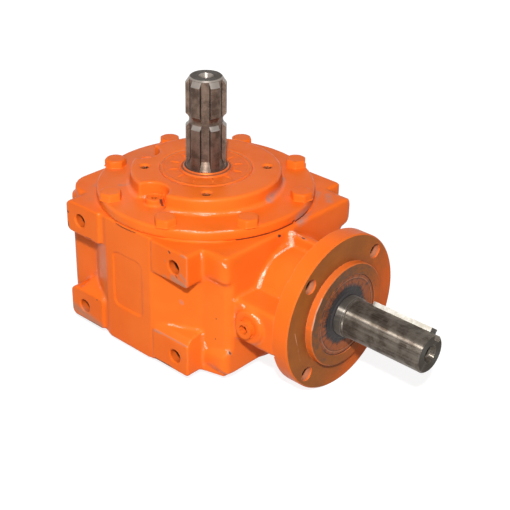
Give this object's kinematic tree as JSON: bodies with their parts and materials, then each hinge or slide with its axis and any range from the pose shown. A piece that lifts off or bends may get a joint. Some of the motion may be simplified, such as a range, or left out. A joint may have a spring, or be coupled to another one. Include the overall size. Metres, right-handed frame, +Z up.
{
  "type": "bevel gearbox",
  "caption": "Right-angle bevel gearbox in a cast housing, with a splined upright input shaft and a keyed output shaft in a bolting flange.",
  "frame": {"origin": "on the axis of the input shaft, in the plane of the underside", "axes": "+Z up along the input shaft, +X along the output shaft towards its keyed end"},
  "size_m": [0.348, 0.191, 0.2315],
  "materials": {
    "casting": "glossy orange enamel over a cast surface",
    "cover": "glossy orange enamel",
    "painted_fasteners": "orange enamel over plated steel",
    "seal_paint": "orange overspray on a rubber covered seal",
    "seal_rubber": "matt black rubber",
    "gasket": "matt",
    "dark_plugs": "blackened",
    "washer": "dull",
    "input_steel": "dark, lightly oiled",
    "output_steel": "ground",
    "gear_steel": "hardened, oiled",
    "key_steel": "bright drawn",
    "ring_steel": "blackened spring steel",
    "bearing_steel": "polished",
    "cage_metal": "pressed",
    "spacer_steel": "turned"
  },
  "bodies": {
    "housing": {"housing": "casting", "top_cover": "cover", "cover_gasket": "gasket", "cover_bolts": "painted_fasteners", "cover_plugs": "dark_plugs", "bottom_cap": "casting", "level_plug": "painted_fasteners", "level_washer": "washer", "drain_plug": "painted_fasteners", "drain_washer": "washer", "input_seal": "seal_paint", "output_seal": "seal_rubber", "cover_circlip": "ring_steel", "bottom_circlip": "ring_steel", "neck_circlips": "ring_steel", "outer_spacer": "spacer_steel", "upper_bearing_outer": "bearing_steel", "lower_bearing_outer": "bearing_steel", "inboard_bearing_outer": "bearing_steel", "outboard_bearing_outer": "bearing_steel"},
    "input": {"input_shaft": "input_steel", "crown_wheel": "gear_steel", "crown_key": "key_steel", "crown_shims": "spacer_steel", "input_circlip": "ring_steel", "foot_circlip": "ring_steel", "upper_bearing_inner": "bearing_steel", "lower_bearing_inner": "bearing_steel"},
    "output": {"pinion_shaft": "output_steel", "output_key": "key_steel", "output_circlip": "ring_steel", "inner_spacer": "spacer_steel", "inboard_bearing_inner": "bearing_steel", "outboard_bearing_inner": "bearing_steel"},
    "upper_rollers": {"upper_bearing_balls": "bearing_steel", "upper_bearing_cage": "cage_metal"},
    "lower_rollers": {"lower_bearing_balls": "bearing_steel", "lower_bearing_cage": "cage_metal"},
    "inboard_rollers": {"inboard_bearing_balls": "bearing_steel", "inboard_bearing_cage": "cage_metal"},
    "outboard_rollers": {"outboard_bearing_balls": "bearing_steel", "outboard_bearing_cage": "cage_metal"}
  },
  "joints": [
    {"name": "input_spin", "type": "hinge", "parent": "housing", "child": "input", "pos_m": [0, 0, 0.1413], "axis": [0, 0, 1], "continuous": true},
    {"name": "output_spin", "type": "hinge", "parent": "housing", "child": "output", "pos_m": [0.12, 0, 0.0605], "axis": [1, 0, 0], "continuous": true},
    {"name": "upper_rollers_spin", "type": "hinge", "parent": "housing", "child": "upper_rollers", "pos_m": [0, 0, 0.1203], "axis": [0, 0, 1], "continuous": true},
    {"name": "lower_rollers_spin", "type": "hinge", "parent": "housing", "child": "lower_rollers", "pos_m": [0, 0, 0.0185], "axis": [0, 0, 1], "continuous": true},
    {"name": "inboard_rollers_spin", "type": "hinge", "parent": "housing", "child": "inboard_rollers", "pos_m": [0.089, 0, 0.0605], "axis": [1, 0, 0], "continuous": true},
    {"name": "outboard_rollers_spin", "type": "hinge", "parent": "housing", "child": "outboard_rollers", "pos_m": [0.1365, 0, 0.0605], "axis": [1, 0, 0], "continuous": true}
  ],
  "couplings": [
    {"joint": "output_spin", "follows": "input_spin", "ratio": -2.5},
    {"joint": "upper_rollers_spin", "follows": "input_spin", "ratio": 0.4},
    {"joint": "lower_rollers_spin", "follows": "input_spin", "ratio": 0.39626},
    {"joint": "inboard_rollers_spin", "follows": "input_spin", "ratio": -0.99065},
    {"joint": "outboard_rollers_spin", "follows": "input_spin", "ratio": -0.99065}
  ]
}
